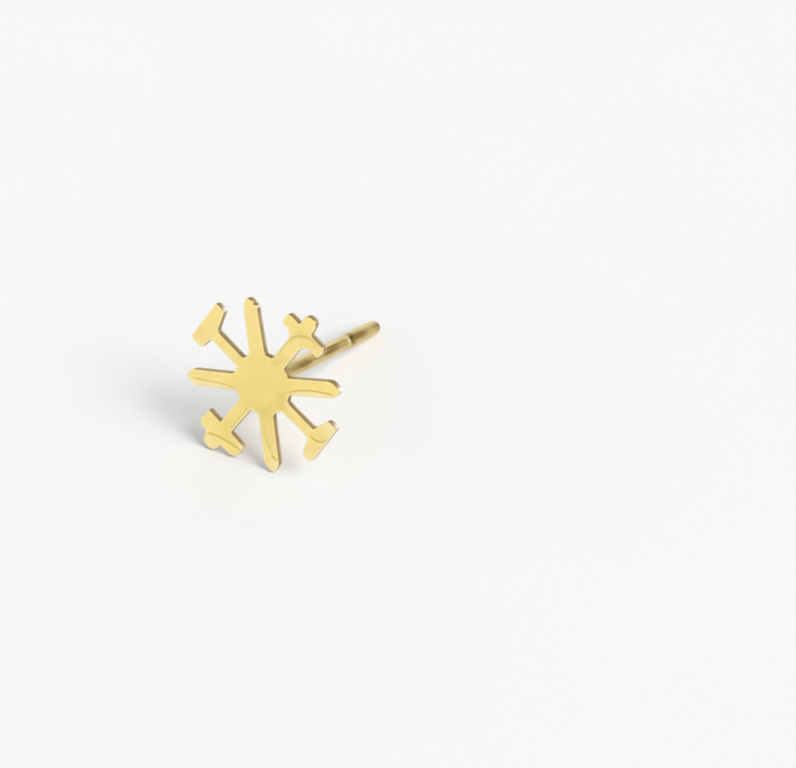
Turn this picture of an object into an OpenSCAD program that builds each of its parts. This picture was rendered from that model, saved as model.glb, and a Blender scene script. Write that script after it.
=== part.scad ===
// Snowflake stud earring: a flat snowflake with eight arms, cut from thin sheet,
// and a straight ear post soldered to the middle of its back.
// The stud lies the way it rests on a table, on two arm tips and the end of its post.
// Z is up, and the post points along +Y and down to the table.

/* [Snowflake plate] */
// Thickness of the sheet
plate_t = 0.38; // [0.3:0.02:0.8]
// Radius of the plain hub in the middle
hub_r = 1.7; // [1.6:0.02:1.9]
// Radius of the corner between an arm and the hub
root_round = 0.18; // [0.05:0.01:0.18]

/* [Plain spikes] */
// Distance from the middle of the plate to the tip of a spike
spike_reach = 4.65; // [4.4:0.05:5]
// Width of a spike
spike_w = 0.96; // [0.84:0.02:0.96]
// Length of a spike's pointed end
spike_point = 0.6; // [0.45:0.05:0.9]
// Extra length of the spike that the stud stands on
low_spike_extra = 0.14; // [0:0.02:0.2]

/* [Hammer arms] */
// Distance from the middle of the plate to the outer edge of a hammer head
hammer_reach = 4.62; // [4.2:0.02:5]
// Length of a hammer head, across its arm
hammer_w = 2.68; // [2.4:0.02:2.8]
// Thickness of a hammer head at its two ends
hammer_end_t = 0.64; // [0.56:0.02:0.8]
// Thickness of a hammer head where the arm meets it
hammer_mid_t = 0.98; // [0.9:0.02:1.3]
// Width of the arm under a hammer head
hammer_arm_w = 0.68; // [0.5:0.02:0.8]
// How far the upper hammer head sits off its arm, to the right as seen from the front
upper_head_shift = 0.16; // [0:0.02:0.2]
// Thickness of the upper hammer head at its left end, which is blunter than the others
upper_head_left_t = 0.84; // [0.7:0.02:0.88]

/* [Upper cross arm] */
// Distance from the middle of the plate to the tip of the upper cross
upper_reach = 5.02; // [4.9:0.02:5.4]
// Distance from the middle of the plate to the middle of the upper crossbar
upper_bar_at = 3.9; // [3.8:0.02:4]
// Length of the upper crossbar, across its arm
upper_bar_w = 2.7; // [2.6:0.02:2.9]
// How far the upper crossbar sits off its arm, to the right as seen from the front
upper_bar_shift = 0.11; // [0:0.01:0.12]
// Thickness of the upper crossbar
upper_bar_t = 0.74; // [0.6:0.02:0.8]
// Width of the upper cross's arm
upper_arm_w = 0.82; // [0.6:0.02:0.88]
// Width of the upper cross's tip where it leaves the bar
upper_tip_w = 0.84; // [0.8:0.02:0.86]
// Radius of the wide corners where the upper cross's arm meets its bar
upper_corner_r = 0.5; // [0.08:0.02:0.5]

/* [Lower cross arm] */
// Distance from the middle of the plate to the tip of the lower cross
lower_reach = 5.32; // [5.2:0.02:5.6]
// Distance from the middle of the plate to the middle of the lower crossbar
lower_bar_at = 4.08; // [3.9:0.02:4.1]
// Length of the lower crossbar, across its arm
lower_bar_w = 2.82; // [2.6:0.02:3]
// How far the lower crossbar sits off its arm, to the right as seen from the front
lower_bar_shift = 0.08; // [0:0.01:0.1]
// Thickness of the lower crossbar
lower_bar_t = 1.1; // [0.8:0.02:1.1]
// Width of the lower cross's arm
lower_arm_w = 0.82; // [0.6:0.02:0.84]
// Width of the lower cross's tip where it leaves the bar
lower_tip_w = 1.14; // [1.1:0.02:1.2]
// How far the lower cross's tip sits off its arm, to the left as seen from the front
lower_tip_shift = 0.13; // [0:0.01:0.15]

/* [Ear post] */
// Diameter of the post
post_d = 0.85; // [0.7:0.05:1]
// Length of the post behind the plate
post_len = 12.6; // [9:0.1:14]
// Distance from the end of the post to the middle of its groove
groove_at = 3.7; // [2:0.1:4]
// Width of the groove that an earring back clicks into
groove_w = 0.5; // [0.3:0.05:0.8]
// Depth of the groove
groove_depth = 0.08; // [0.04:0.01:0.12]
// Radius of the solder round the foot of the post
solder_r = 0.25; // [0.1:0.05:0.4]

/* [Hidden] */
$fn = 96;

// Straight pieces in each rounded corner
corner_steps = 6;

// Columns of a corner row: along the arm, across the arm, radius of the rounding
ALONG = 0;
ACROSS = 1;
ROUND = 2;

// How far each hand-cut arm leans from its eighth of a turn, in degrees
right_lean = -1.3;
upper_cross_lean = 0.3;
top_lean = 2.4;
left_lean = -3;
lower_cross_lean = -1.1;
low_spike_lean = 1.2;
lower_hammer_lean = 1.9;

// Half the angle of a spike's point, and the rounding of its tip and of its shoulders
point_half = atan2(spike_w / 2, spike_point);
point_round = 0.26;
shoulder_round = 0.6;

// How far a spike's point sits off its middle, anticlockwise as seen from the front
right_point_shift = -0.08;
top_point_shift = 0.1;
left_point_shift = -0.1;

// How much narrower the top spike is at each shoulder
top_spike_taper = 0.06;

// Rounding of the hammer heads: their square ends and their two blunt left ends
square_r = 0.14;
blunt_r = 0.26;

// Rounding of the crosses: their tips, the corners under the tips and the inner corners of the bars
upper_tip_r = 0.36;
lower_tip_r = 0.37;
tip_shoulder_r = 0.08;
lower_corner_r = 0.08;
upper_end_r = 0.2;
lower_end_r = 0.12;
lower_lobe_r = 0.5;

// How much narrower each tip of a cross is at its end, on either side, and how far the upper end is moved
upper_tip_taper = 0.04;
lower_tip_taper = 0.17;
upper_tip_end_shift = 0.06;

function unit(v) = v / norm(v);
function turned(p, a) = [p[0] * cos(a) - p[1] * sin(a), p[0] * sin(a) + p[1] * cos(a)];

// Distance from the middle of the hub to where an arm of width w leaves its rim
function root(w) = sqrt(hub_r * hub_r - w * w / 4);

// The second side of an arm is the first side reversed and mirrored across its middle
function both_sides(rows) = concat(
    rows,
    [for (i = [len(rows) - 1:-1:0]) [rows[i][ALONG], -rows[i][ACROSS], rows[i][ROUND]]]);

function spike_corners(reach, shift, taper) =
    let (vertex = reach + point_round * (1 / sin(point_half) - 1))
    [[root(spike_w), -spike_w / 2, root_round],
     [vertex - spike_point, taper - spike_w / 2, shoulder_round],
     [vertex, shift, point_round],
     [vertex - spike_point, spike_w / 2 - taper, shoulder_round],
     [root(spike_w), spike_w / 2, root_round]];

// Corner rows from number low to number high moved across the arm
function shifted(rows, low, high, shift) = [for (i = [0:len(rows) - 1])
    rows[i] + [0, i >= low && i <= high ? shift : 0, 0]];

// Corner row number n with another rounding
function rerounded(rows, n, radius) = [for (i = [0:len(rows) - 1])
    i == n ? [rows[i][ALONG], rows[i][ACROSS], radius] : rows[i]];

// The head's two ends have their own thickness and rounding: first the clockwise end, then the other
function hammer_corners(shift, first_t, first_r, last_t, last_r) = shifted(
    [[root(hammer_arm_w), -hammer_arm_w / 2, root_round],
     [hammer_reach - hammer_mid_t, -hammer_arm_w / 2, 0.2],
     [hammer_reach - first_t, -hammer_w / 2, first_r],
     [hammer_reach, -hammer_w / 2, first_r],
     [hammer_reach, hammer_w / 2, last_r],
     [hammer_reach - last_t, hammer_w / 2, last_r],
     [hammer_reach - hammer_mid_t, hammer_arm_w / 2, 0.2],
     [root(hammer_arm_w), hammer_arm_w / 2, root_round]], 2, 5, shift);

function cross_corners(reach, bar_at, bar_w, bar_t, arm_w, tip_w, taper, corner_r, end_r, tip_r) = both_sides(
    [[root(arm_w), -arm_w / 2, root_round],
     [bar_at - bar_t / 2, -arm_w / 2, corner_r],
     [bar_at - bar_t / 2, -bar_w / 2, end_r],
     [bar_at + bar_t / 2, -bar_w / 2, bar_t * 0.3],
     [bar_at + bar_t / 2, -tip_w / 2, tip_shoulder_r],
     [reach, taper - tip_w / 2, tip_r]]);

// The bar and the tip are moved together, then the tip is moved to where it sits
function upper_cross() = shifted(shifted(shifted(
    cross_corners(upper_reach, upper_bar_at, upper_bar_w, upper_bar_t, upper_arm_w, upper_tip_w,
                  upper_tip_taper, upper_corner_r, upper_end_r, upper_tip_r),
    2, 9, -upper_bar_shift), 4, 7, upper_bar_shift), 5, 6, upper_tip_end_shift);
function lower_cross() = rerounded(shifted(shifted(
    cross_corners(lower_reach, lower_bar_at, lower_bar_w, lower_bar_t, lower_arm_w, lower_tip_w,
                  lower_tip_taper, lower_corner_r, lower_end_r, lower_tip_r),
    2, 9, lower_bar_shift), 4, 7, -lower_bar_shift - lower_tip_shift), 8, lower_lobe_r);

// Corner rows of an arm, turned to its place on the plate
function placed(rows, a) = [for (row = rows)
    concat(turned([row[ALONG], row[ACROSS]], a), row[ROUND])];

// Points of an arc of radius r that rounds the corner p between its neighbours a and b
function rounded_corner(a, p, b, r) =
    let (
        to_a = unit(a - p),
        to_b = unit(b - p),
        half = acos(to_a * to_b) / 2,
        centre = p + unit(to_a + to_b) * r / sin(half),
        first = p + to_a * r / tan(half) - centre,
        last = p + to_b * r / tan(half) - centre,
        start = atan2(first[1], first[0]),
        sweep = (atan2(last[1], last[0]) - start + 540) % 360 - 180)
    [for (i = [0:corner_steps])
        centre + r * [cos(start + sweep * i / corner_steps), sin(start + sweep * i / corner_steps)]];

function at(row) = [row[ALONG], row[ACROSS]];
function rounded(rows) = let (n = len(rows))
    [for (i = [0:n - 1])
        let (before = rows[(i + n - 1) % n], after = rows[(i + 1) % n])
        for (p = rounded_corner(at(before), at(rows[i]), at(after), rows[i][ROUND]))
            p];

// The arms in turn, anticlockwise from the right as seen from the front
right_spike = placed(spike_corners(spike_reach, right_point_shift, 0), right_lean);
upper_cross_arm = placed(upper_cross(), 45 + upper_cross_lean);
top_spike = placed(spike_corners(spike_reach, top_point_shift, top_spike_taper), 90 + top_lean);
upper_hammer = placed(
    hammer_corners(-upper_head_shift, hammer_end_t, square_r, upper_head_left_t, blunt_r), 135);
left_spike = placed(spike_corners(spike_reach, left_point_shift, 0), 180 + left_lean);
lower_cross_arm = placed(lower_cross(), 225 + lower_cross_lean);
low_spike = placed(spike_corners(spike_reach + low_spike_extra, 0, 0), 270 + low_spike_lean);
lower_hammer = placed(
    hammer_corners(0, hammer_end_t, blunt_r, hammer_end_t, square_r), 315 + lower_hammer_lean);
outline = rounded(concat(right_spike, upper_cross_arm, top_spike, upper_hammer,
                         left_spike, lower_cross_arm, low_spike, lower_hammer));

// Farthest that any point lies in a direction in the plane of the plate
function farthest(points, a) = max([for (p = points) p[0] * cos(a) + p[1] * sin(a)]);

// Direction in which the lower cross and the low spike reach equally far: this is down
function level(low, high, turns) = let (middle = (low + high) / 2)
    turns == 0 ? middle
    : farthest(rounded(lower_cross_arm), middle) > farthest(rounded(low_spike), middle)
        ? level(middle, high, turns - 1)
        : level(low, middle, turns - 1);
down = level(225, 270, 24);
spin = 270 - down;
stand_h = farthest(outline, down);

// The plate's back edge and the round end of the post both touch the table
post_r = post_d / 2;
end_at = post_len - post_r;
lean_back = acos(post_r / norm([stand_h, end_at])) - atan2(end_at, stand_h);
front_h = stand_h * cos(lean_back) + plate_t * sin(lean_back);

// Middle of the stud's own box, seen from above
low_y = -stand_h * sin(lean_back);
high_y = (plate_t + end_at) * cos(lean_back) + post_r;
low_x = -farthest(outline, 180 - spin);
high_x = farthest(outline, -spin);
middle_x = (low_x + high_x) / 2;
middle_y = (low_y + high_y) / 2;

// Radius of the groove's round section
groove_r = (groove_w * groove_w / 4 + groove_depth * groove_depth) / (2 * groove_depth);

// The flat snowflake, its front on z = 0
module snowflake_plate() {
    color([0.94, 0.83, 0.5])
        translate([0, 0, -plate_t])
            linear_extrude(plate_t)
                polygon(outline);
}

// The straight post with a groove and a round end, from inside the plate backwards
module ear_post() {
    color([0.72, 0.62, 0.32])
        difference() {
            union() {
                translate([0, 0, -plate_t - end_at])
                    cylinder(h = end_at + plate_t / 2, r = post_r);
                translate([0, 0, -plate_t - end_at])
                    sphere(r = post_r);
            }
            translate([0, 0, -plate_t - post_len + groove_at])
                rotate_extrude()
                    translate([post_r - groove_depth + groove_r, 0])
                        circle(r = groove_r);
        }
}

// The hollow fillet of solder round the foot of the post
module solder_joint() {
    color([0.8, 0.7, 0.4])
        translate([0, 0, -plate_t])
            rotate_extrude()
                difference() {
                    translate([0, -solder_r])
                        square([post_r + solder_r, solder_r + plate_t / 2]);
                    translate([post_r + solder_r, -solder_r])
                        circle(r = solder_r);
                }
}

// Turns the stud from facing up to the way it lies at rest
module at_rest() {
    translate([-middle_x, -middle_y, front_h])
        rotate([90 - lean_back, 0, 0])
            rotate([0, 0, spin])
                children();
}

// The whole stud is one solid, because its post is soldered on
module snowflake_stud() {
    at_rest()
        union() {
            snowflake_plate();
            ear_post();
            solder_joint();
        }
}

snowflake_stud();
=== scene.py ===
"""A snowflake stud earring: a flat gold snowflake with eight arms, an ear post and the solder between them.

Each operator makes one piece, in metres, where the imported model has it. The shapes are worked out in
millimetres in the stud's own frame, where the front of the plate is z = 0 and the post points along -z,
and are then turned to the way the stud lies at rest.
"""

import math

import bpy
import numpy as np
from bpy.props import FloatProperty, FloatVectorProperty, IntProperty, PointerProperty
from mathutils import Matrix, Vector
from mathutils.geometry import delaunay_2d_cdt


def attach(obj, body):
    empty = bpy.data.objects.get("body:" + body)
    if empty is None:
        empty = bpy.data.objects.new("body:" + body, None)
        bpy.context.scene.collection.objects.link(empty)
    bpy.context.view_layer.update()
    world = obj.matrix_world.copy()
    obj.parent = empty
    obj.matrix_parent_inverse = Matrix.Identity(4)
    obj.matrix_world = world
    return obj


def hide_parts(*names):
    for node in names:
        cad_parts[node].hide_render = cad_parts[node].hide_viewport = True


bl_info = {
    "name": "Snowflake stud earring",
    "version": (1, 0, 0),
    "blender": (4, 5, 0),
    "location": "View3D > Sidebar > Snowflake stud",
    "description": "Makes a gold snowflake stud earring, its ear post and its solder joint",
    "category": "Add Mesh",
}

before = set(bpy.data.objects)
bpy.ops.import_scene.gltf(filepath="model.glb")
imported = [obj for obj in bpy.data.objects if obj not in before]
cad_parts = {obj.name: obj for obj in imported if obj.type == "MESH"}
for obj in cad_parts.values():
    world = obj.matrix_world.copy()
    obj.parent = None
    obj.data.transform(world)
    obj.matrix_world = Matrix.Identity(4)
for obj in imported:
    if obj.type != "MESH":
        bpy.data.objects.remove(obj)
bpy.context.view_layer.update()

NODE = "snowflake_stud"
MM = 0.001

# Radii of the outline's smaller corners in millimetres.
SPIKE_TIP = 0.26
SPIKE_SHOULDER = 0.6
HEAD_ROOT = 0.2
HEAD_SHARP_END = 0.14
HEAD_SOFT_END = 0.26
TIP_ROOT = 0.08
# Radius of a crossbar's two corners towards the tip, as a share of the bar's thickness.
BAR_ROUND = 0.3
# First and last of the corner rows of a hammer head, of a cross's bar and tip, of its tip, and of the
# tip's end. Then the row of a crossbar's lobe.
HEAD_ROWS = (2, 5)
BAR_ROWS = (2, 9)
TIP_ROWS = (4, 7)
TIP_END_ROWS = (5, 6)
LOBE_ROW = 8

# Depth of the face's rolled edge, as a share of how far in it reaches.
ROLL_SHARE = 0.8
# Step between the points of the outline, and heights of small uneven places, in millimetres.
OUTLINE_STEP = 0.06
WAVE_HEIGHT = 0.0045
SAW_HEIGHT = 0.003
BURR_HEIGHT = 0.008
SWELLING = 0.02
# How much coarser the net of the plain back is than that of the face.
BACK_NET = 5
# How far the net stays from the ring round it and from the pressed lines' points, in steps of the net.
NET_TO_RING = 0.66
NET_TO_LINES = 0.5
# How far the pressed lines' points stay from the ring and from each other, in millimetres.
LINES_TO_RING = 0.03
LINES_APART = 0.02
# How far the solder reaches into the metal that it joins, in millimetres.
OVERLAP = 0.05
# How often the angle between the two arms that the stud stands on is halved, to find which way is down.
HALVINGS = 24


def size(name, millimetres, description):
    """A length property, whose default is given in millimetres."""
    return FloatProperty(
        name=name,
        description=description,
        default=millimetres * MM,
        min=0.0,
        precision=5,
        subtype="DISTANCE",
        unit="LENGTH",
    )


def turn(name, degrees, description):
    """An angle property, whose default is given in degrees."""
    return FloatProperty(
        name=name,
        description=description,
        default=math.radians(degrees),
        subtype="ANGLE",
        unit="ROTATION",
    )


def share(name, value, description):
    """A property between 0 and 1."""
    return FloatProperty(
        name=name, description=description, default=value, min=0.0, max=1.0, subtype="FACTOR"
    )


def colour(name, value, description):
    """A colour property with three linear channels."""
    return FloatVectorProperty(
        name=name, description=description, default=value, size=3, min=0.0, max=1.0, subtype="COLOR"
    )


class PlateSizes(bpy.types.PropertyGroup):
    """Sizes of the flat snowflake."""

    thickness: size("Sheet", 0.38, "Thickness of the sheet")
    hub_radius: size("Hub radius", 1.7, "Radius of the plain hub in the middle")
    root_round: size("Root round", 0.18, "Radius of the corner between an arm and the hub")
    spike_reach: size("Spike reach", 4.65, "Distance from the middle to the tips of the side spikes")
    spike_width: size("Spike width", 0.96, "Width of a spike")
    spike_point: size("Spike point", 0.6, "Length of a spike's pointed end")
    low_spike_extra: size("Low spike extra", 0.14, "Extra length of the spike that the stud stands on")
    top_spike_taper: size("Top spike taper", 0.06, "How much narrower the top spike is at each shoulder")
    hammer_reach: size("Hammer reach", 4.62, "Distance from the middle to the outer edge of a hammer head")
    hammer_width: size("Hammer width", 2.68, "Length of a hammer head, across its arm")
    hammer_end: size("Hammer end", 0.64, "Thickness of a hammer head at its two ends")
    hammer_middle: size("Hammer middle", 0.98, "Thickness of a hammer head where the arm meets it")
    hammer_arm: size("Hammer arm", 0.68, "Width of the arm under a hammer head")
    upper_head_shift: size("Upper head shift", 0.16, "How far the upper hammer head sits to the right")
    upper_head_left: size("Upper head left", 0.84, "Thickness of the upper hammer head at its left end")
    upper_reach: size("Upper cross reach", 5.02, "Distance from the middle to the tip of the upper cross")
    upper_bar_at: size("Upper bar place", 3.9, "Distance from the middle to the upper crossbar")
    upper_bar_width: size("Upper bar length", 2.7, "Length of the upper crossbar, across its arm")
    upper_bar_shift: size("Upper bar shift", 0.11, "How far the upper crossbar sits to the right")
    upper_bar_thickness: size("Upper bar thickness", 0.74, "Thickness of the upper crossbar")
    upper_arm: size("Upper cross arm", 0.82, "Width of the upper cross's arm")
    upper_tip: size("Upper cross tip", 0.84, "Width of the upper cross's tip where it leaves the bar")
    upper_tip_taper: size("Upper tip taper", 0.04, "How much narrower the tip is at its end, on each side")
    upper_corner: size("Upper corner", 0.5, "Radius of the corners between the upper cross's arm and bar")
    lower_reach: size("Lower cross reach", 5.32, "Distance from the middle to the tip of the lower cross")
    lower_bar_at: size("Lower bar place", 4.08, "Distance from the middle to the lower crossbar")
    lower_bar_width: size("Lower bar length", 2.82, "Length of the lower crossbar, across its arm")
    lower_bar_shift: size("Lower bar shift", 0.08, "How far the lower crossbar sits to the right")
    lower_bar_thickness: size("Lower bar thickness", 1.1, "Thickness of the lower crossbar")
    lower_arm: size("Lower cross arm", 0.82, "Width of the lower cross's arm")
    lower_tip: size("Lower cross tip", 1.14, "Width of the lower cross's tip where it leaves the bar")
    lower_tip_taper: size("Lower tip taper", 0.17, "How much narrower the tip is at its end, on each side")
    lower_tip_shift: size("Lower tip shift", 0.13, "How far the lower cross's tip sits to the left")
    lower_lobe: size("Lower lobe", 0.5, "Radius of the lower crossbar's rounder lobe")
    right_lean: turn("Right lean", -1.3, "Lean of the right spike from its eighth of a turn")
    upper_cross_lean: turn("Upper cross lean", 0.3, "Lean of the upper cross")
    top_lean: turn("Top lean", 2.4, "Lean of the top spike")
    left_lean: turn("Left lean", -3.0, "Lean of the left spike")
    lower_cross_lean: turn("Lower cross lean", -1.1, "Lean of the lower cross")
    low_spike_lean: turn("Low spike lean", 1.2, "Lean of the low spike")
    lower_hammer_lean: turn("Lower hammer lean", 1.9, "Lean of the lower hammer")
    rolled_edge: size("Rolled edge", 0.09, "How far the polished face rolls over at its rim")
    back_edge: size("Back edge", 0.03, "Radius of the plate's edge at the back")
    net: size("Net", 0.06, "Distance between the points of the face")


class PostSizes(bpy.types.PropertyGroup):
    """Sizes of the ear post and its solder."""

    diameter: size("Diameter", 0.85, "Diameter of the post")
    length: size("Length", 12.6, "Length of the post behind the plate")
    groove_at: size("Groove place", 3.7, "Distance from the end of the post to the middle of its groove")
    groove_width: size("Groove width", 0.5, "Width of the groove that an earring back clicks into")
    groove_depth: size("Groove depth", 0.08, "Depth of the groove")
    solder_radius: size("Solder radius", 0.25, "Radius of the solder round the foot of the post")
    sides: IntProperty(name="Sides", description="Points round the post", default=72, min=12)


class GoldColours(bpy.types.PropertyGroup):
    """Colours and smoothness of the gold."""

    face: colour("Face", (1.0, 0.795, 0.30), "Polished face of the arms")
    hub: colour("Hub", (0.965, 0.75, 0.255), "Satin hub in the middle")
    warm: colour("Warm", (1.0, 0.72, 0.31), "Places where the polish is redder")
    # Painted shade of the pressed lines; also a darker tone in a ring round the hub and in places.
    crease_shade_and_tone: colour("Crease", (0.70, 0.49, 0.11), "Pressed lines and duller places")
    # Painted highlight: on the rolled edge, just past the pressed lines and on the post.
    rim: colour("Rim", (1.0, 0.87, 0.49), "Rolled edge, and the face just past a pressed line")
    # Painted highlight at the brightest places and just inside the shaded edges.
    painted_highlight: colour("Glow", (1.0, 0.88, 0.54), "Places that are polished brightest")
    wall: colour("Cut edge", (0.61, 0.50, 0.32), "Sawn edge of the sheet")
    shade: colour("Shade", (0.37, 0.255, 0.115), "Sawn edge under the face, and the corners of the arms")
    # Painted glints on the sawn edge.
    edge_glint: colour("Spark", (1.0, 0.96, 0.84), "Polished places of the sawn edge")
    back: colour("Back", (0.80, 0.60, 0.24), "Back of the plate")
    post: colour("Post", (0.70, 0.54, 0.22), "Drawn wire of the post")
    # Random darker streaks, and painted shade along one side of the post, in its groove and at its end; also
    # the solder's darker pebbles.
    tarnish: colour("Tarnish", (0.27, 0.185, 0.05), "Darker lengths of the post")
    # Painted shade deep in the groove.
    groove: colour("Groove", (0.12, 0.085, 0.025), "Dark side of the groove")
    solder: colour("Solder", (0.66, 0.52, 0.25), "Solder round the foot of the post")
    face_roughness: share("Face roughness", 0.16, "Roughness of the polished face")
    wall_roughness: share("Edge roughness", 0.45, "Roughness of the sawn edge")
    post_roughness: share("Post roughness", 0.22, "Roughness of the post")


class StageSettings(bpy.types.PropertyGroup):
    """Camera, light and floor."""

    azimuth: turn("Azimuth", 28.25, "How far the camera stands to the right of the front")
    elevation: turn("Elevation", 38.58, "How far the camera stands above the floor")
    distance: size("Distance", 81.87, "Distance from the camera to the hub")
    aside: size("Aside", 4.501, "How far the camera stands to the right of its line to the hub")
    below: size("Below", 2.537, "How far the camera stands below its line to the hub")
    lens: FloatProperty(
        name="Lens", description="Focal length in millimetres", default=67.84, min=1.0, unit="CAMERA")
    light_azimuth: turn("Light azimuth", 91.0, "How far the light stands to the right of the front")
    light_elevation: turn("Light elevation", 42.0, "How far the light stands above the floor")
    light_spread: turn("Light spread", 36.0, "How wide the light looks from the stud")
    light_strength: FloatProperty(name="Light", description="Strength of the light", default=2.47, min=0.0)
    horizon: FloatProperty(
        name="Horizon", description="Brightness of the room at the table's height", default=1.05, min=0.0)
    ceiling: share("Ceiling", 0.32, "Brightness of the room overhead")
    floor: colour("Floor", (0.865, 0.87, 0.868), "Pale floor")


class Millimetres:
    """Reads the lengths of a property group in millimetres."""

    def __init__(self, group):
        self.group = group

    def __getattr__(self, name):
        return getattr(self.group, name) / MM


def unit(v):
    """Each row divided by its length."""
    return v / np.linalg.norm(v, axis=-1, keepdims=True)


def direction(angle):
    """The cosine and sine of an angle in radians."""
    return np.array([math.cos(angle), math.sin(angle)])


def both_sides(rows):
    """The corner rows of one side of an arm, then the same rows reversed and mirrored across its middle."""
    rows = np.array(rows)
    return np.vstack([rows, rows[::-1] * [1, -1, 1]])


def shifted(rows, span, shift):
    """Corner rows with those from the span's first to its last moved across the arm."""
    first, last = span
    rows = rows.copy()
    rows[first:last + 1, 1] += shift
    return rows


def placed(rows, angle):
    """Corner rows turned about the middle of the hub: x along and y across the arm become plate x and y."""
    c, s = direction(angle)
    return np.hstack([rows[:, :2] @ np.array([[c, s], [-s, c]]), rows[:, 2:]])


def rounded(rows, steps=8):
    """The closed line through the corner rows, each corner replaced by an arc of its own radius.

    The arc's centre lies on the bisector at radius / sin(half angle), and the arc sweeps from the foot of
    the radius on one side of the corner to its foot on the other side.
    """
    p = rows[:, :2]
    r = rows[:, 2:]
    to_last = unit(np.roll(p, 1, axis=0) - p)
    to_next = unit(np.roll(p, -1, axis=0) - p)
    half = np.arccos(np.sum(to_last * to_next, axis=1, keepdims=True)) / 2
    centre = p + unit(to_last + to_next) * r / np.sin(half)
    first = p + to_last * r / np.tan(half) - centre
    last = p + to_next * r / np.tan(half) - centre
    start = np.arctan2(first[:, 1], first[:, 0])
    sweep = (np.arctan2(last[:, 1], last[:, 0]) - start + 3 * np.pi) % (2 * np.pi) - np.pi
    t = start[:, None] + sweep[:, None] * np.linspace(0, 1, steps + 1)
    arcs = centre[:, None] + r[:, None] * np.stack([np.cos(t), np.sin(t)], axis=-1)
    return arcs.reshape(-1, 2)


def farthest(points, angle):
    """How far the points reach in a direction: the largest dot product with it."""
    return float(np.max(points @ direction(angle)))


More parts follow.
